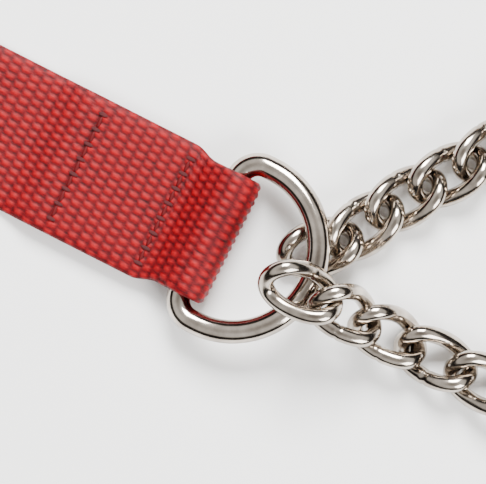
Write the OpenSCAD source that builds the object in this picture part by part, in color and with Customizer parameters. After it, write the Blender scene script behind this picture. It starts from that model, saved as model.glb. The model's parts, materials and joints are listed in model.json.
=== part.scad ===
// Martingale collar: a flat webbing strap with a D-ring folded into each end, and a loop
// of curb chain that runs through both D-rings and closes on a leash ring.
// It lies on z = 0 with the strap's ends flat and the rest of the strap on edge.

/* [Strap] */
// Width of the webbing
strap_w = 25; // [22:0.5:28]
// Thickness of the webbing
strap_t = 1.8; // [1.4:0.1:2.2]
// Width of the webbing where the D-ring's corners pinch the fold
fold_w = 22.6; // [20:0.1:23]
// Length of each folded-back tail, from the fold to its cut end
tail_len = 30.5; // [26:0.5:38]
// Flat length at each end, before the strap starts to turn on edge
flat_len = 54; // [48:1:80]
// Length over which the strap turns on edge
twist_len = 56; // [46:1:90]

/* [Stitching] */
// Distance from the fold to the stitch row beside the D-ring
near_row = 13.1; // [12:0.1:16]
// Distance from the cut end of the tail to the far stitch row
far_row_inset = 0.9; // [0.7:0.1:2]
// Distance between needle holes
stitch_pitch = 2.8; // [2.2:0.1:3.5]
// Number of needle holes in a row
stitch_holes = 8; // [5:1:8]
// Diameter of the sewing thread
thread_d = 0.7; // [0.5:0.05:0.9]

/* [D-rings] */
// Wire diameter of a D-ring
ring_wire = 4; // [3.6:0.1:4.2]
// Outer width of a D-ring
ring_w = 32.9; // [32:0.1:38]
// Radius of the D-ring's two corners, to the wire's centre
ring_corner = 3.85; // [3.4:0.05:4.2]
// Distance from the bar to the centre of the round side
ring_depth = 4.8; // [4.5:0.1:8]
// Tilt of each D-ring as it rests on the chain, in degrees
ring_tilt = 12; // [11:0.5:12.5]

/* [Chain] */
// Wire diameter of a link
link_wire = 2.8; // [2.4:0.05:2.9]
// Outer length of a link
link_len = 15.3; // [15.1:0.05:15.6]
// Outer width of a link
link_w = 10; // [9.8:0.05:10.4]
// Height that the twist lifts the wire above and below the link's middle
link_twist = 1.8; // [1.6:0.05:2.2]
// Distance between the middles of two links where the chain is taut
pitch_taut = 9.4; // [9.2:0.05:9.45]
// Distance between the middles of two links where the chain is slack
pitch_slack = 8.4; // [8.2:0.05:9.2]

/* [Leash ring] */
// Wire diameter of the leash ring
leash_wire = 2.8; // [2.6:0.1:3]
// Outer diameter of the leash ring
leash_d = 30; // [26:0.5:36]

/* [Layout] */
// Distance between the middles of the two D-rings
end_gap = 100; // [90:1:130]

/* [Hidden] */
// Clearances
layer_gap = 0.15;
bar_gap = 0.45;
bar_lift = 0.3;

// Strap
mid_y = end_gap / 2;
loop_r = ring_wire / 2 + bar_gap + strap_t / 2;
loop_x = -loop_r - strap_t / 2;
single_z = strap_t / 2;
double_z = strap_t + layer_gap + single_z;
loop_z = single_z + loop_r;
turn_x = -flat_len - twist_len;
fold_reach = 9;
tail_step = 8;

// D-rings
bar_x = loop_x - 0.4;
bar_z = strap_t + ring_wire / 2 + bar_lift;
ring_half_w = (ring_w - ring_wire) / 2;

// Stitching
near_row_x = -near_row;
far_row_x = -tail_len + far_row_inset;
stitch_top = double_z + strap_t / 2;

// Links
link_a = (link_len - link_wire) / 2;
link_b = (link_w - link_wire) / 2;
flat_z = link_twist + link_wire / 2;
link_sides = 8;
link_rings = 24;
hook_reach = 1.5;

function smooth(t) = let (c = min(1, max(0, t))) c * c * (3 - 2 * c);
function mix(a, b, t) = a + (b - a) * t;
function unit(v) = v / norm(v);

// ---- Strap: a list of [centre, width direction, half width] along the webbing ----

function flat_at(x, z, w) = [[x, 0, z], [0, -1, 0], w / 2];

// Where the top layer is: up over the bar, down to the doubled webbing, down to one layer
function top_z(x) =
    x > -near_row ? mix(loop_z + loop_r, double_z, smooth((loop_x - x) / (near_row - 0.6 + loop_x)))
    : mix(double_z, single_z, smooth((-tail_len - 1 - x) / tail_step));

function fold_w_at(x) = mix(fold_w, strap_w, smooth((-x - fold_reach) / (near_row - fold_reach)));

function strap_half() = concat(
    [for (x = [-tail_len, -near_row, -near_row + 1, -near_row + 2.5, -fold_reach])
        flat_at(x, single_z, fold_w_at(x))],
    [for (a = [-90:18:90])
        [[loop_x + loop_r * cos(a), 0, loop_z + loop_r * sin(a)], [0, -1, 0], fold_w / 2]],
    [for (t = [0.125:0.125:1])
        let (x = mix(loop_x, -near_row, t)) flat_at(x, top_z(x), fold_w_at(x))],
    [for (t = [0:0.125:1])
        let (x = -tail_len - 1 - t * tail_step) flat_at(x, top_z(x), strap_w)],
    [for (t = [0:1/14:1])
        let (lean = 90 * smooth(t), w = strap_w / 2)
        [[-flat_len - t * twist_len, 0, w * sin(lean) + single_z * cos(lean)],
         [0, -cos(lean), sin(lean)], w]],
    [for (a = [9:9:90])
        [[turn_x - mid_y * sin(a), mid_y * (1 - cos(a)), strap_w / 2], [0, 0, 1], strap_w / 2]]);

function mirrored(s) = [[s[0].x, end_gap - s[0].y, s[0].z], [s[1].x, -s[1].y, s[1].z], s[2]];

// Closed skin through rings of points; on a closed loop the last ring joins the first
module skin(rings, closed) {
    n = len(rings);
    m = len(rings[0]);
    sides = [
        for (i = [0:closed ? n - 1 : n - 2], j = [0:m - 1])
        let (a = i * m + j,
             b = i * m + (j + 1) % m,
             c = (i + 1) % n * m + (j + 1) % m,
             d = (i + 1) % n * m + j)
        each [[a, b, c], [a, c, d]]
    ];
    ends = closed ? [] : [[for (j = [m - 1:-1:0]) j], [for (j = [0:m - 1]) (n - 1) * m + j]];
    polyhedron([for (r = rings) each r], concat(sides, ends));
}

module strap() {
    half = strap_half();
    last = len(half) - 1;
    path = concat(half, [for (i = [last - 1:-1:0]) mirrored(half[i])]);
    end = len(path) - 1;
    color([0.78, 0.10, 0.14])
    skin([
        for (i = [0:end])
        let (along = path[min(i + 1, end)][0] - path[max(i - 1, 0)][0],
             across = path[i][1] * path[i][2],
             up = unit(cross(along, path[i][1])) * strap_t / 2,
             c = path[i][0])
        [c + across + up, c + across - up, c - across - up, c - across + up]
    ], false);
}

// One lockstitched row: thread over and under the webbing, joined through each needle hole
module stitch_row(x, y) {
    first = -(stitch_holes - 1) * stitch_pitch / 2;
    low = thread_d / 2;
    high = stitch_top - thread_d / 4;
    color([0.70, 0.08, 0.12])
    translate([x, y, 0]) {
        for (i = [0:stitch_holes - 1])
            translate([0, first + i * stitch_pitch, low])
                cylinder(d = thread_d, h = high - low);
        for (z = [low, high])
            translate([0, first - thread_d / 2, z])
                rotate([-90, 0, 0])
                    cylinder(d = thread_d, h = -2 * first + thread_d);
    }
}

// ---- D-rings ----

// Quarter or half bend of the ring's wire in the plane z = 0
module bend(radius, from, sweep) {
    rotate([0, 0, from])
        rotate_extrude(angle = sweep)
            translate([radius, 0]) circle(d = ring_wire);
}

module d_ring(y) {
    straight = ring_half_w - ring_corner;
    color([0.75, 0.74, 0.72])
    translate([bar_x, y, bar_z])
        rotate([0, -ring_tilt, 0]) {
            translate([ring_depth, 0, 0]) bend(ring_half_w, -90, 180);
            for (side = [-1, 1]) {
                translate([ring_corner, side * ring_half_w, 0])
                    rotate([0, 90, 0])
                        cylinder(d = ring_wire, h = ring_depth - ring_corner);
                translate([ring_corner, side * straight, 0])
                    bend(ring_corner, side > 0 ? 90 : 180, 90);
            }
            rotate([90, 0, 0]) cylinder(d = ring_wire, h = 2 * straight, center = true);
        }
}

// ---- Chain ----

// One link about its own middle: an oval of wire, twisted so that the chain lies flat
module link_body() {
    color([0.75, 0.74, 0.72])
    skin([
        for (i = [0:link_rings - 1])
        let (t = 360 * i / link_rings,
             c = [link_a * cos(t), link_b * sin(t), -link_twist * sin(2 * t)],
             along = unit([-link_a * sin(t), link_b * cos(t), -2 * link_twist * cos(2 * t)]),
             out = unit(cross([-sin(t), cos(t), 0], [0, 0, 1])),
             side = unit(out - along * (along * out)),
             up = cross(along, side))
        [for (j = [0:link_sides - 1])
            let (s = 360 * j / link_sides) c + (side * cos(s) + up * sin(s)) * link_wire / 2]
    ], true);
}

// A pose is [centre, heading, climb, roll]
module link_at(pose) {
    translate(pose[0]) rotate([pose[3], -pose[2], pose[1]]) link_body();
}

function heading(turn, climb) = [cos(turn) * cos(climb), sin(turn) * cos(climb), sin(climb)];
function across_middle(pose) =
    [[pose[0].x, end_gap - pose[0].y, pose[0].z], -pose[1], pose[2], pose[3]];
function reversed(list) = [for (i = [len(list) - 1:-1:0]) list[i]];

// Links one after another from the joint at p: one turn and one climb a link
function strand(p, turns, climbs, pitch, i = 0) =
    i == len(turns) ? [] :
    let (step = heading(turns[i], climbs[i]) * pitch)
    concat([[p + step / 2, turns[i], climbs[i], 0]], strand(p + step, turns, climbs, pitch, i + 1));

// Halve the span of turns until the run of links reaches what is wanted
function turn_for(reach, want, low, high, tries = 24) =
    let (mid = (low + high) / 2)
    tries == 0 ? mid
    : reach(mid) < want ? turn_for(reach, want, mid, high, tries - 1)
    : turn_for(reach, want, low, mid, tries - 1);
function total(list) = len(list) == 0 ? 0 : list * [for (v = list) 1];

// A link that spans two joints, with no roll
function link_between(p, q) =
    let (step = q - p)
    [(p + q) / 2, atan2(step.y, step.x), asin(step.z / norm(step)), 0];

// Where the chain crosses each D-ring: up from the table, over the arc, and out under it
lead_start = [34.3, -1.5, flat_z];
beside_arc = [25.8, -1.4, 6.8];
over_arc = [18, -1.3, 12.1];
inside_top = [8.9, -1.8, 14.4];
inside_low = [10.1, 3.4, flat_z];
slack_start = [16.2, 9.2, flat_z];
cross_links = [
    link_between(beside_arc, lead_start),
    link_between(over_arc, beside_arc),
    link_between(inside_top, over_arc),
    link_between(inside_low, slack_start)
];

// Slack strand between the D-rings: how far each link turns away from straight across
slack_weights = [0.7, 0.85, 0.95, 0.8, 0.45];
slack_rise = mid_y - slack_start.y - pitch_slack / 2;
slack_extra = max(0, ceil(slack_rise / pitch_slack - total([for (w = slack_weights) cos(30 * w)])));
slack_run = concat(slack_weights, [for (i = [1:1:slack_extra]) 0]);
slack_reach = function(turn) -pitch_slack * total([for (w = slack_run) cos(turn * w)]);
slack_turn = turn_for(slack_reach, -slack_rise, 0, 85);
slack_half = strand(slack_start, [for (w = slack_run) 90 - slack_turn * w],
    [for (w = slack_run) 0], pitch_slack);
slack_last = slack_half[len(slack_half) - 1];
slack_end = slack_last[0] + heading(slack_last[1], 0) * pitch_slack / 2;
slack_middle = [[slack_end.x, mid_y, flat_z], 90, 0, 0];

// Lead strands from the D-rings to the leash ring
lead_weights = [0, 0, 0.12, 0.28, 0.44, 0.6, 0.76, 0.92, 1, 1];
lead_hook = 8;
lead_rise = mid_y - lead_hook - lead_start.y;
lead_reach = function(turn) pitch_taut * total([for (w = lead_weights) sin(turn * w)]);
lead_turn = turn_for(lead_reach, lead_rise, 0, 88);
lead_run = strand(lead_start, [for (w = lead_weights) lead_turn * w],
    [for (w = lead_weights) 0], pitch_taut);
lead_last = len(lead_run) - 1;

// The last links roll evenly on to their edges, so that the end link stands up for the leash ring
end_turns = 7;
function end_roll(i) = 90 * max(0, (i - lead_last + end_turns) / end_turns);
// Height of the middle of a rolled link that rests on the table
function rest_z(roll) = link_wire / 2
    + max([for (t = [0:5:355]) link_b * sin(t) * sin(roll) - link_twist * sin(2 * t) * cos(roll)]);
lead_links = [
    for (i = [0:lead_last])
    let (c = lead_run[i][0], roll = end_roll(i))
    [[c.x, c.y, rest_z(roll)], lead_run[i][1], 0, roll]
];
end_link = lead_links[lead_last];

half_chain = concat(reversed(lead_links), cross_links, slack_half);
links = concat(half_chain, [slack_middle], reversed([for (p = half_chain) across_middle(p)]));

function link_name(i) = str("chain_link_", i < 9 ? "0" : "", i + 1);

// ---- Leash ring ----

// The ring hangs in the two end links and its far side rests on the table
leash_r = (leash_d - leash_wire) / 2;
hook = end_link[0] + heading(end_link[1], 0) * hook_reach;
leash_back = sqrt(leash_r * leash_r - pow(mid_y - hook.y, 2));
leash_tilt = asin((link_w - leash_wire) / 2 / (leash_back + leash_r));

module leash_ring() {
    color([0.75, 0.74, 0.72])
    translate([hook.x, mid_y, hook.z])
        rotate([0, leash_tilt, 0])
            translate([leash_back, 0, 0])
                rotate_extrude() translate([leash_r, 0]) circle(d = leash_wire);
}

// The origin is on the table under the middle of the whole collar
back_x = turn_x - mid_y - strap_t / 2;
front_x = hook.x + (leash_back + leash_r) * cos(leash_tilt) + leash_wire / 2;
module placed() {
    translate([-(back_x + front_x) / 2, -mid_y, 0]) children();
}

placed() strap();
placed() stitch_row(near_row_x, 0);  // near_stitches_1
placed() stitch_row(far_row_x, 0);  // far_stitches_1
placed() stitch_row(near_row_x, end_gap);  // near_stitches_2
placed() stitch_row(far_row_x, end_gap);  // far_stitches_2
placed() d_ring(0);  // d_ring_1
placed() d_ring(end_gap);  // d_ring_2
placed() leash_ring();
for (i = [0:len(links) - 1])
    placed() link_at(links[i]);
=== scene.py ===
"""Martingale collar: woven strap, sewn folds, D-rings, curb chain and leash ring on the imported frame."""

import json
import logging
import math
from dataclasses import dataclass
from enum import Enum

import bmesh
import bpy
import numpy as np
from mathutils import Matrix, Vector


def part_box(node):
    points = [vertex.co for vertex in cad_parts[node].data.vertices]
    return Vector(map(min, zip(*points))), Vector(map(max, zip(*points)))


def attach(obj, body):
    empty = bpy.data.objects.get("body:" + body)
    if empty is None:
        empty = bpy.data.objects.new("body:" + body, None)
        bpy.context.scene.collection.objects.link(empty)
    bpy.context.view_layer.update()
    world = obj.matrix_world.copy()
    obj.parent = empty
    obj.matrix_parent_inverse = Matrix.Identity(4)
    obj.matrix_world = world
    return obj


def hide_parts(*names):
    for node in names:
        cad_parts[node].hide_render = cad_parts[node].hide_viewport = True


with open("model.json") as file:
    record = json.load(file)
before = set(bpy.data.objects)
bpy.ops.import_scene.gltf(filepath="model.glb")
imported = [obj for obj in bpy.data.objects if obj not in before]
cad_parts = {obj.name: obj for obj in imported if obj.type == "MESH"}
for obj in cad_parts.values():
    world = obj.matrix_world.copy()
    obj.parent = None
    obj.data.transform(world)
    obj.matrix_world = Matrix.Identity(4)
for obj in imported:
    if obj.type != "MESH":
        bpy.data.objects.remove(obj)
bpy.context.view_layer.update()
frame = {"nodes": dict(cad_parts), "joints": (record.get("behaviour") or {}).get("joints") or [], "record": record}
LOG = logging.getLogger("collar")
MM = 0.001
# Vertices of a wire that are closer than this are one
WIRE_WELD = 0.005 * MM
# The fold's edge lies this far in front of the D-ring's hinge
HINGE_BEHIND_FOLD = 4.65 * MM


class Slot(Enum):
    """Material slots of the record."""

    WEBBING = "webbing"
    THREAD = "thread"
    RING = "ring_steel"
    CHAIN = "chain_steel"


def linear(code: str) -> tuple[float, float, float, float]:
    """Turn an sRGB hex colour into linear light.

    Args:
        code: six hex digits after a hash.
    Returns:
        Linear red, green, blue and an alpha of one.
    """
    parts = [int(code[i:i + 2], 16) / 255 for i in (1, 3, 5)]
    light = [c / 12.92 if c <= 0.04045 else ((c + 0.055) / 1.055) ** 2.4 for c in parts]
    return (*light, 1.0)


def add_node(tree: bpy.types.NodeTree, kind: str, links: dict | None = None,
             values: dict | None = None, **settings: object) -> bpy.types.Node:
    """Add one node with its settings, values and incoming links.

    Args:
        tree: the node tree.
        kind: the node's type name.
        links: input name or number to the output socket that feeds it.
        values: input name or number to its value.
        settings: attributes of the node.
    Returns:
        The new node.
    """
    node = tree.nodes.new(kind)
    for key, value in settings.items():
        setattr(node, key, value)
    for key, value in (values or {}).items():
        node.inputs[key].default_value = value
    for key, socket in (links or {}).items():
        tree.links.new(socket, node.inputs[key])
    return node


def ramp(tree: bpy.types.NodeTree, source: bpy.types.NodeSocket,
         stops: list[tuple[float, str]]) -> bpy.types.NodeSocket:
    """Colour a value by stops.

    Args:
        tree: the node tree.
        source: the value.
        stops: position and sRGB colour of each stop.
    Returns:
        The colour output.
    """
    node = add_node(tree, "ShaderNodeValToRGB", {"Fac": source})
    elements = node.color_ramp.elements
    while len(elements) < len(stops):
        elements.new(0.5)
    for element, (place, code) in zip(elements, stops):
        element.position = place
        element.color = linear(code)
    return node.outputs["Color"]


def smooth(t: float) -> float:
    """Ease from 0 to 1."""
    c = min(1.0, max(0.0, t))
    return c * c * (3 - 2 * c)


def mix(a: float, b: float, t: float) -> float:
    """Blend two numbers."""
    return a + (b - a) * t


def finish_piece(bm: bmesh.types.BMesh, name: str, body: str,
                 nodes: list[str], materials: list[bpy.types.Material]) -> bpy.types.Object:
    """Turn a bmesh into a finished piece that rides on its body.

    Args:
        bm: the piece in place, in metres.
        name: the object's name.
        body: the CAD body that carries it.
        nodes: CAD nodes that it stands for.
        materials: its materials.
    Returns:
        The object.
    """
    bmesh.ops.recalc_face_normals(bm, faces=bm.faces[:])
    for face in bm.faces:
        face.smooth = True
    mesh = bpy.data.meshes.new(name)
    bm.to_mesh(mesh)
    bm.free()
    for material in materials:
        mesh.materials.append(material)
    piece = bpy.data.objects.new(name, mesh)
    bpy.context.scene.collection.objects.link(piece)
    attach(piece, body)
    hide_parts(*nodes)
    LOG.info("%s: %d faces on %s", name, len(mesh.polygons), body)
    return piece


@dataclass(frozen=True)
class PlatedSteel:
    """Nickel-plated steel wire, drawn and then tumbled bright."""

    name: str
    low: str
    high: str
    roughness: float
    smudge_mm: float = 3.0
    mark_mm: float = 0.35
    mark_depth: float = 0.05 * MM
    mark_strength: float = 0.06
    brightest: float = 0.7
    dullest: float = 1.4

    def build(self) -> bpy.types.Material:
        """Make the material.

        Returns:
            The material.
        """
        # Nickel plate: a warm grey mirror, with soft tumbling marks that blur it unevenly
        material = bpy.data.materials.new(self.name)
        material.use_nodes = True
        tree = material.node_tree
        shader = tree.nodes["Principled BSDF"]
        shader.inputs["Metallic"].default_value = 1.0
        coords = add_node(tree, "ShaderNodeTexCoord").outputs["Object"]
        clouds = add_node(tree, "ShaderNodeTexNoise", {"Vector": coords},
                          {"Scale": 1 / (self.smudge_mm * MM), "Detail": 4.0})
        marks = add_node(tree, "ShaderNodeTexNoise", {"Vector": coords},
                         {"Scale": 1 / (self.mark_mm * MM), "Detail": 2.0})
        tree.links.new(ramp(tree, clouds.outputs["Fac"], [(0.3, self.low), (0.7, self.high)]),
                       shader.inputs["Base Color"])
        rough = add_node(tree, "ShaderNodeMapRange", {"Value": clouds.outputs["Fac"]},
                         {"To Min": self.roughness * self.brightest,
                          "To Max": self.roughness * self.dullest})
        tree.links.new(rough.outputs["Result"], shader.inputs["Roughness"])
        bump = add_node(tree, "ShaderNodeBump", {"Height": marks.outputs["Fac"]},
                        {"Strength": self.mark_strength, "Distance": self.mark_depth})
        tree.links.new(bump.outputs["Normal"], shader.inputs["Normal"])
        return material


@dataclass(frozen=True)
class WovenNylon:
    """Dyed multifilament nylon, woven or twisted."""

    name: str
    dark: str
    base: str
    light: str
    yarn_mm: float
    fibre_depth: float = 0.12 * MM
    fibre_strength: float = 0.5
    # Weight of the relief in the tone: the painted highlight on the crests and the painted shade between them
    painted_crest_shade_weight: float = 1.1
    drift_weight: float = 0.4
    roughness: float = 0.55
    gloss: float = 0.18

    def build(self) -> bpy.types.Material:
        """Make the material.

        Returns:
            The material.
        """
        # Nylon yarn of satin filaments, with fibre streaks and a slow drift in tone. Painted light from the
        # weave's relief: a painted highlight bright on each crest and painted shade deep between them. A piece
        # without the relief and cloth_mm attributes, such as a stitch, takes one even tone
        material = bpy.data.materials.new(self.name)
        material.use_nodes = True
        tree = material.node_tree
        shader = tree.nodes["Principled BSDF"]
        shader.inputs["Roughness"].default_value = self.roughness
        shader.inputs["Specular IOR Level"].default_value = self.gloss
        relief = add_node(tree, "ShaderNodeAttribute", attribute_name="relief")
        place = add_node(tree, "ShaderNodeAttribute", attribute_name="cloth_mm")
        coords = place.outputs["Vector"]
        filament = add_node(tree, "ShaderNodeMapping", {"Vector": coords},
                            {"Scale": (0.5 / self.yarn_mm, 2 / self.yarn_mm, 1.0)})
        fibres = add_node(tree, "ShaderNodeTexNoise", {"Vector": filament.outputs["Vector"]},
                          {"Scale": 1.6, "Detail": 3.0})
        wide = add_node(tree, "ShaderNodeTexNoise", {"Vector": coords}, {"Scale": 0.4, "Detail": 2.0})
        drift = add_node(tree, "ShaderNodeMath", {0: wide.outputs["Fac"]}, {1: self.drift_weight},
                         operation="MULTIPLY")
        tone = add_node(tree, "ShaderNodeMath",
                        {0: fibres.outputs["Fac"], 1: drift.outputs["Value"]}, operation="ADD")
        # Painted light: the relief lifts each crest toward the light stop as a painted highlight and leaves the
        # hollows at the dark stop as painted shade
        shade = add_node(tree, "ShaderNodeMath", {0: relief.outputs["Fac"], 2: tone.outputs["Value"]},
                         {1: self.painted_crest_shade_weight}, operation="MULTIPLY_ADD")
        spread = add_node(tree, "ShaderNodeMapRange", {"Value": shade.outputs["Value"]},
                          {"From Min": 0.5, "From Max": 1.75})
        colour = ramp(tree, spread.outputs["Result"],
                      [(0.0, self.dark), (0.45, self.base), (1.0, self.light)])
        tree.links.new(colour, shader.inputs["Base Color"])
        bump = add_node(tree, "ShaderNodeBump", {"Height": fibres.outputs["Fac"]},
                        {"Strength": self.fibre_strength, "Distance": self.fibre_depth})
        tree.links.new(bump.outputs["Normal"], shader.inputs["Normal"])
        return material


@dataclass(frozen=True)
class NeedleHole:
    """Shadowed yarn where the needle went through."""

    name: str = "needle_hole_shadow"
    colour: str = "#4C060C"
    deep: str = "#2A0306"
    grain_mm: float = 0.4
    roughness: float = 0.9

    def build(self) -> bpy.types.Material:
        """Make the material.

        Returns:
            The material.
        """
        # Deep yarn in shade: almost black red, with a little grain
        material = bpy.data.materials.new(self.name)
        material.use_nodes = True
        tree = material.node_tree
        shader = tree.nodes["Principled BSDF"]
        shader.inputs["Roughness"].default_value = self.roughness
        coords = add_node(tree, "ShaderNodeTexCoord").outputs["Object"]
        grain = add_node(tree, "ShaderNodeTexNoise", {"Vector": coords},
                         {"Scale": 1 / (self.grain_mm * MM)})
        tree.links.new(ramp(tree, grain.outputs["Fac"], [(0.2, self.deep), (0.8, self.colour)]),
                       shader.inputs["Base Color"])
        return material


@dataclass
class Station:
    """One cross-section of the strap: its middle, its width direction and its half width."""

    centre: Vector
    across: Vector
    half: float


@dataclass
class Strap:
    """The webbing: folded round a D-ring at each end and turned on edge at the back."""

    end_1: Vector
    end_2: Vector
    material: bpy.types.Material
    width: float = 25 * MM
    fold_width: float = 22.6 * MM
    thickness: float = 1.8 * MM
    tail: float = 30.5 * MM
    flat: float = 54 * MM
    twist: float = 56 * MM
    near_row: float = 13.1 * MM
    wire: float = 4 * MM
    bar_gap: float = 0.45 * MM
    layer_gap: float = 0.15 * MM
    pinch: float = 9 * MM
    tail_step: float = 8 * MM
    row_flat: float = 0.6 * MM
    tail_clear: float = 1 * MM
    weld: float = 0.002 * MM
    row_mm: float = 2.0
    bump_mm: float = 1.42
    bump_height: float = 0.42 * MM
    rows_per_weave: int = 3
    across_steps: int = 70
    rim_power: int = 12
    tail_stations: int = 24
    flat_stations: int = 60
    twist_stations: int = 29
    fold_step_deg: int = 6
    back_step_deg: int = 3

    def top_height(self, x: float) -> float:
        """Height of the top layer's middle at x behind the fold.

        Args:
            x: distance along the strap's axis, zero at the fold and negative behind it.
        Returns:
            The height in metres.
        """
        single = self.thickness / 2
        double = self.thickness + self.layer_gap + single
        loop = self.wire / 2 + self.bar_gap + single
        loop_x = -loop - single
        if x > -self.near_row:
            t = (loop_x - x) / (self.near_row - self.row_flat + loop_x)
            return mix(single + 2 * loop, double, smooth(t))
        return mix(double, single, smooth((-self.tail - self.tail_clear - x) / self.tail_step))

    def fold_width_at(self, x: float) -> float:
        """Width of the webbing near the fold, where the D-ring's corners pinch it."""
        t = smooth((-x - self.pinch) / (self.near_row - self.pinch))
        return mix(self.fold_width, self.width, t)

    def half_path(self) -> list[Station]:
        """The strap from the cut tail to the middle of its back, about the first fold.

        Returns:
            Stations in order.
        """
        single = self.thickness / 2
        loop = self.wire / 2 + self.bar_gap + single
        loop_x = -loop - single
        level = Vector((0, -1, 0))
        path = []
        for x in np.linspace(-self.tail, loop_x, self.tail_stations, endpoint=False):
            path.append(Station(Vector((x, 0, single)), level, self.fold_width_at(x) / 2))
        for angle in np.radians(np.arange(-90, 91, self.fold_step_deg)):
            centre = Vector((loop_x + loop * math.cos(angle), 0, single + loop + loop * math.sin(angle)))
            path.append(Station(centre, level, self.fold_width / 2))
        for x in np.linspace(loop_x, -self.flat, self.flat_stations)[1:]:
            path.append(Station(Vector((x, 0, self.top_height(x))), level, self.fold_width_at(x) / 2))
        for t in np.linspace(0, 1, self.twist_stations)[1:]:
            lean = math.pi / 2 * smooth(t)
            height = self.width / 2 * math.sin(lean) + single * math.cos(lean)
            across = Vector((0, -math.cos(lean), math.sin(lean)))
            path.append(Station(Vector((-self.flat - t * self.twist, 0, height)), across, self.width / 2))
        bend = (self.end_2.y - self.end_1.y) / 2
        for angle in np.radians(np.arange(self.back_step_deg, 91, self.back_step_deg)):
            centre = Vector((-self.flat - self.twist - bend * math.sin(angle),
                             bend * (1 - math.cos(angle)), self.width / 2))
            path.append(Station(centre, Vector((0, 0, 1)), self.width / 2))
        return path

    def whole_path(self) -> list[Station]:
        """Both halves of the strap in the frame.

        Returns:
            Stations from one cut tail to the other.
        """
        half = self.half_path()
        gap = self.end_2.y - self.end_1.y
        other = [Station(Vector((s.centre.x, gap - s.centre.y, s.centre.z)),
                         Vector((s.across.x, -s.across.y, s.across.z)), s.half) for s in half[-2::-1]]
        return [Station(s.centre + self.end_1, s.across, s.half) for s in half + other]

    def build(self) -> bpy.types.Object:
        """Weave the strap: a grid wrapped round the webbing's section, with its bumps raised.

        Returns:
            The strap's piece.
        """
        path = self.whole_path()
        centres = np.array([s.centre for s in path])
        acrosses = np.array([s.across for s in path])
        halves = np.array([s.half for s in path])
        along = np.gradient(centres, axis=0)
        along /= np.linalg.norm(along, axis=1)[:, None]
        ups = np.cross(along, acrosses)
        steps = np.linalg.norm(np.diff(centres, axis=0), axis=1)
        reach = np.concatenate([[0], np.cumsum(steps)])
        rings = int(reach[-1] / (self.row_mm * MM) * self.rows_per_weave)
        around = 2 * self.across_steps
        bm = bmesh.new()
        bmesh.ops.create_grid(bm, x_segments=rings, y_segments=around, size=0.5)
        relief_layer = bm.verts.layers.float.new("relief")
        place_layer = bm.verts.layers.float_vector.new("cloth_mm")
        for vert in bm.verts:
            s = (vert.co.x + 0.5) * reach[-1]
            k = round((vert.co.y + 0.5) * around)
            side = 1 if k <= self.across_steps else -1
            share = 1 - 2 * k / self.across_steps if side > 0 else 2 * (k / self.across_steps - 1) - 1
            centre, across, up = (Vector([np.interp(s, reach, a[:, i]) for i in range(3)])
                                  for a in (centres, acrosses, ups))
            half = float(np.interp(s, reach, halves))
            row, phase = divmod(s / MM / self.row_mm, 1)
            shift = 0.5 * (row % 2)
            across_mm = share * half / MM
            crest = abs(math.cos(math.pi * (across_mm / self.bump_mm + shift)))
            crest *= math.sqrt(abs(math.sin(math.pi * phase)))
            rim = math.sqrt(max(0.0, 1 - share ** self.rim_power))
            depth = (self.thickness / 2 - self.bump_height * (1 - crest)) * rim
            vert.co = centre + across.normalized() * half * share + up.normalized() * side * depth
            # The crest height goes to the shader as relief, where it becomes a painted highlight on the crests and
            # painted shade between them
            vert[relief_layer] = crest
            vert[place_layer] = Vector((s / MM, across_mm, side))
        bmesh.ops.remove_doubles(bm, verts=bm.verts[:], dist=self.weld)
        bmesh.ops.holes_fill(bm, edges=[e for e in bm.edges if e.is_boundary], sides=0)
        return finish_piece(bm, "webbing", "strap", ["strap"], [self.material])


@dataclass
class StitchRow:
    """A row of lockstitches: a thread that dips into a needle hole at each end of a stitch."""

    node: str
    thread: bpy.types.Material
    hole: bpy.types.Material
    holes: int = 8
    thread_d: float = 0.7 * MM
    plump: float = 0.34 * MM
    stitch_share: float = 0.36
    stitch_height: float = 0.2 * MM
    top_sink: float = 0.15 * MM
    under_sink: float = 0.2 * MM
    hole_lift: float = 0.03 * MM
    hole_mm: tuple[float, float, float] = (0.85, 0.34, 0.12)
    bead_sides: int = 12
    bead_rings: int = 8

    def add_bead(self, bm: bmesh.types.BMesh, centre: Vector, radii: Vector, material: int) -> None:
        """Add one rounded bead.

        Args:
            bm: the row's bmesh.
            centre: where it goes.
            radii: its half sizes.
            material: index of its material.
        """
        place = Matrix.Translation(centre) @ Matrix.Diagonal((*radii, 1))
        made = bmesh.ops.create_uvsphere(bm, u_segments=self.bead_sides, v_segments=self.bead_rings,
                                         radius=1, matrix=place)
        for face in {f for v in made["verts"] for f in v.link_faces}:
            face.material_index = material

    def build(self) -> bpy.types.Object:
        """Sew the row on both faces of the doubled webbing.

        Returns:
            The row's piece.
        """
        low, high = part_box(self.node)
        x = (low.x + high.x) / 2
        pitch = (high.y - low.y - self.thread_d) / (self.holes - 1)
        first = low.y + self.thread_d / 2
        bm = bmesh.new()
        for z in (high.z - self.top_sink, low.z + self.under_sink):
            for i in range(self.holes):
                y = first + i * pitch
                # A small dark bead of the needle-hole shadow material sits at each needle hole: painted shadow
                # where the thread goes in
                self.add_bead(bm, Vector((x, y, z + self.hole_lift)), Vector(self.hole_mm) * MM, 1)
                if i < self.holes - 1:
                    stitch = Vector((self.plump, pitch * self.stitch_share, self.stitch_height))
                    self.add_bead(bm, Vector((x, y + pitch / 2, z)), stitch, 0)
        return finish_piece(bm, self.node + "_sewn", "strap", [self.node],
                            [self.thread, self.hole])


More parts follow.
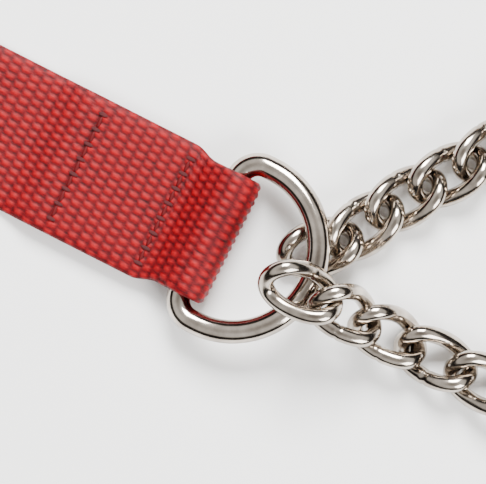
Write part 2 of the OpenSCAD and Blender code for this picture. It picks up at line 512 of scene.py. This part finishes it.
@dataclass
class ChainLink:
    """One curb link: an oval of wire twisted to lie flat, closed by a butt joint."""

    node: str
    body: str
    material: bpy.types.Material
    wire: float = 2.8 * MM
    length: float = 15.3 * MM
    width: float = 10 * MM
    twist: float = 1.8 * MM
    steps: int = 96
    sides: int = 16
    seam_depth: float = 0.1

    def pose(self) -> tuple[Vector, Matrix]:
        """Where the CAD link lies, from the spread of its vertices about its middle.

        Returns:
            Its middle, and its length, width and height directions as a matrix's columns.
        """
        points = np.array([v.co for v in frame["nodes"][self.node].data.vertices])
        points = np.unique(points.round(7), axis=0)
        middle = points.mean(axis=0)
        spread, axes = np.linalg.eigh(np.cov((points - middle).T))
        axes = axes[:, np.argsort(-spread)]
        axes[:, 2] *= np.sign(np.linalg.det(axes))
        return Vector(middle), Matrix(axes.tolist())

    def build(self) -> bpy.types.Object:
        """Spin a ring of wire and draw it out into the twisted oval.

        Returns:
            The link's piece.
        """
        middle, turn = self.pose()
        a = (self.length - self.wire) / 2
        b = (self.width - self.wire) / 2
        bm = bmesh.new()
        upright = Matrix.Translation((a, 0, 0)) @ Matrix.Rotation(math.pi / 2, 4, "X")
        made = bmesh.ops.create_circle(bm, segments=self.sides, radius=self.wire / 2, matrix=upright)
        edges = list({e for v in made["verts"] for e in v.link_edges})
        bmesh.ops.spin(bm, geom=made["verts"] + edges, cent=(0, 0, 0), axis=(0, 0, 1),
                       angle=2 * math.pi, steps=self.steps, use_merge=True)
        bmesh.ops.remove_doubles(bm, verts=bm.verts[:], dist=WIRE_WELD)
        for vert in bm.verts:
            t = math.atan2(vert.co.y, vert.co.x)
            out_by = math.hypot(vert.co.x, vert.co.y) - a
            up_by = vert.co.z
            if abs(t - math.pi / 2) < math.pi / self.steps:
                out_by *= 1 - self.seam_depth
                up_by *= 1 - self.seam_depth
            centre = Vector((a * math.cos(t), b * math.sin(t), -self.twist * math.sin(2 * t)))
            heading = (-a * math.sin(t), b * math.cos(t), -2 * self.twist * math.cos(2 * t))
            along = Vector(heading).normalized()
            outward = Vector((math.cos(t), math.sin(t), 0))
            side = (outward - along * along.dot(outward)).normalized()
            vert.co = middle + turn @ (centre + side * out_by + side.cross(along) * up_by)
        return finish_piece(bm, self.node + "_wire", self.body, [self.node], [self.material])


@dataclass
class WireRing:
    """A welded ring of round wire, smoothed from its CAD solid."""

    node: str
    body: str
    material: bpy.types.Material

    def build(self) -> bpy.types.Object:
        """Merge a copy of the CAD ring so that its surface shades as one.

        Returns:
            The ring's piece.
        """
        bm = bmesh.new()
        bm.from_mesh(frame["nodes"][self.node].data)
        bmesh.ops.remove_doubles(bm, verts=bm.verts[:], dist=WIRE_WELD)
        return finish_piece(bm, self.node + "_wire", self.body, [self.node], [self.material])


@dataclass
class Studio:
    """A pale table under soft light, seen from straight above the first D-ring."""

    fold: Vector
    height: float = 0.6
    view_width: float = 82.4 * MM
    turn_deg: float = 26.9
    centre: Vector = Vector((1.1 * MM, 1.3 * MM, 0))
    sensor_mm: float = 36
    floor_half: float = 3
    sky_strength: float = 1.15

    def build_camera(self) -> None:
        """Place the camera with a long lens."""
        data = bpy.data.cameras.new("camera")
        data.sensor_width = self.sensor_mm
        data.lens = data.sensor_width * self.height / self.view_width
        data.clip_end = 10
        camera = bpy.data.objects.new("camera", data)
        camera.location = self.fold + self.centre + Vector((0, 0, self.height))
        camera.rotation_euler = (0, 0, math.radians(self.turn_deg))
        bpy.context.scene.collection.objects.link(camera)
        bpy.context.scene.camera = camera

    def build_floor(self) -> None:
        """Lay the table top."""
        bm = bmesh.new()
        bmesh.ops.create_grid(bm, x_segments=1, y_segments=1, size=self.floor_half)
        mesh = bpy.data.meshes.new("floor")
        bm.to_mesh(mesh)
        bm.free()
        # Matt white laminate: even and bright, with no pattern of its own
        material = bpy.data.materials.new("white_laminate")
        material.use_nodes = True
        shader = material.node_tree.nodes["Principled BSDF"]
        shader.inputs["Base Color"].default_value = linear("#FBFBFA")
        shader.inputs["Roughness"].default_value = 0.8
        mesh.materials.append(material)
        floor = bpy.data.objects.new("floor", mesh)
        bpy.context.scene.collection.objects.link(floor)

    def add_softbox(self, name: str, offset: Vector, size: float, power: float) -> None:
        """Hang one soft light that faces the D-ring.

        Args:
            name: its name.
            offset: its place from the fold, in metres.
            size: side of the square light.
            power: its power in watts.
        """
        data = bpy.data.lights.new(name, "AREA")
        data.size = size
        data.energy = power
        light = bpy.data.objects.new(name, data)
        light.location = self.fold + offset
        light.rotation_euler = offset.to_track_quat("Z", "Y").to_euler()
        bpy.context.scene.collection.objects.link(light)

    def build_lights(self) -> None:
        """Light the table evenly, with one stronger soft side."""
        world = bpy.data.worlds.new("studio")
        bpy.context.scene.world = world
        world.use_nodes = True
        tree = world.node_tree
        direction = add_node(tree, "ShaderNodeTexCoord").outputs["Generated"]
        height = add_node(tree, "ShaderNodeSeparateXYZ", {"Vector": direction}).outputs["Z"]
        stops = [(0.0, "#D0D0D0"), (0.12, "#24211F"), (0.46, "#2E2A27"),
                 (0.58, "#FFFEFC"), (0.85, "#FFFEFC"), (1.0, "#B0ACA8")]
        tree.links.new(ramp(tree, height, stops), tree.nodes["Background"].inputs["Color"])
        tree.nodes["Background"].inputs["Strength"].default_value = self.sky_strength
        self.add_softbox("key_softbox", Vector((-0.25, 0.75, 0.8)), size=0.5, power=40)
        self.add_softbox("fill_softbox", Vector((0.8, -0.3, 0.7)), size=0.6, power=18)

    def build(self) -> None:
        """Make the camera, the floor and the lights."""
        self.build_camera()
        self.build_floor()
        self.build_lights()


def fold_point(joint_name: str) -> Vector:
    """The fold edge's middle on the table, from the D-ring's hinge.

    Args:
        joint_name: the D-ring's hinge in the record.
    Returns:
        The point at table height.
    """
    joint = next(j for j in frame["joints"] if j["name"] == joint_name)
    x, y, _ = joint["pos_m"]
    return Vector((x + HINGE_BEHIND_FOLD, y, 0))


def main() -> None:
    """Build the studio and then each sub-assembly."""
    logging.basicConfig(level=logging.INFO)
    end_1, end_2 = fold_point("ring_1_swing"), fold_point("ring_2_swing")
    Studio(end_1).build()

    # The webbing's near-black dark stop and bright light stop carry the painted shade between the weave's crests
    # and the painted highlight on them
    cloth = WovenNylon("woven_red_nylon", "#120003", "#5C0008", "#90000C", 0.5).build()
    thread = WovenNylon("twisted_nylon_thread", "#2C0104", "#70040A", "#A0141C", 0.25).build()
    hole = NeedleHole().build()
    ring_steel = PlatedSteel("nickel_plated_ring_wire", "#9C9288", "#C6BCB0", 0.12).build()
    chain_steel = PlatedSteel("nickel_plated_chain_wire", "#90867C", "#BEB4A8", 0.14).build()

    Strap(end_1, end_2, cloth).build()
    bodies = frame["record"]["behaviour"]["bodies"]
    for body, nodes in bodies.items():
        for node in nodes:
            if "stitches" in node:
                StitchRow(node, thread, hole).build()
            elif "chain_link" in node:
                ChainLink(node, body, chain_steel).build()
            elif "ring" in node:
                WireRing(node, body, ring_steel).build()


if __name__ == "__main__":
    main()
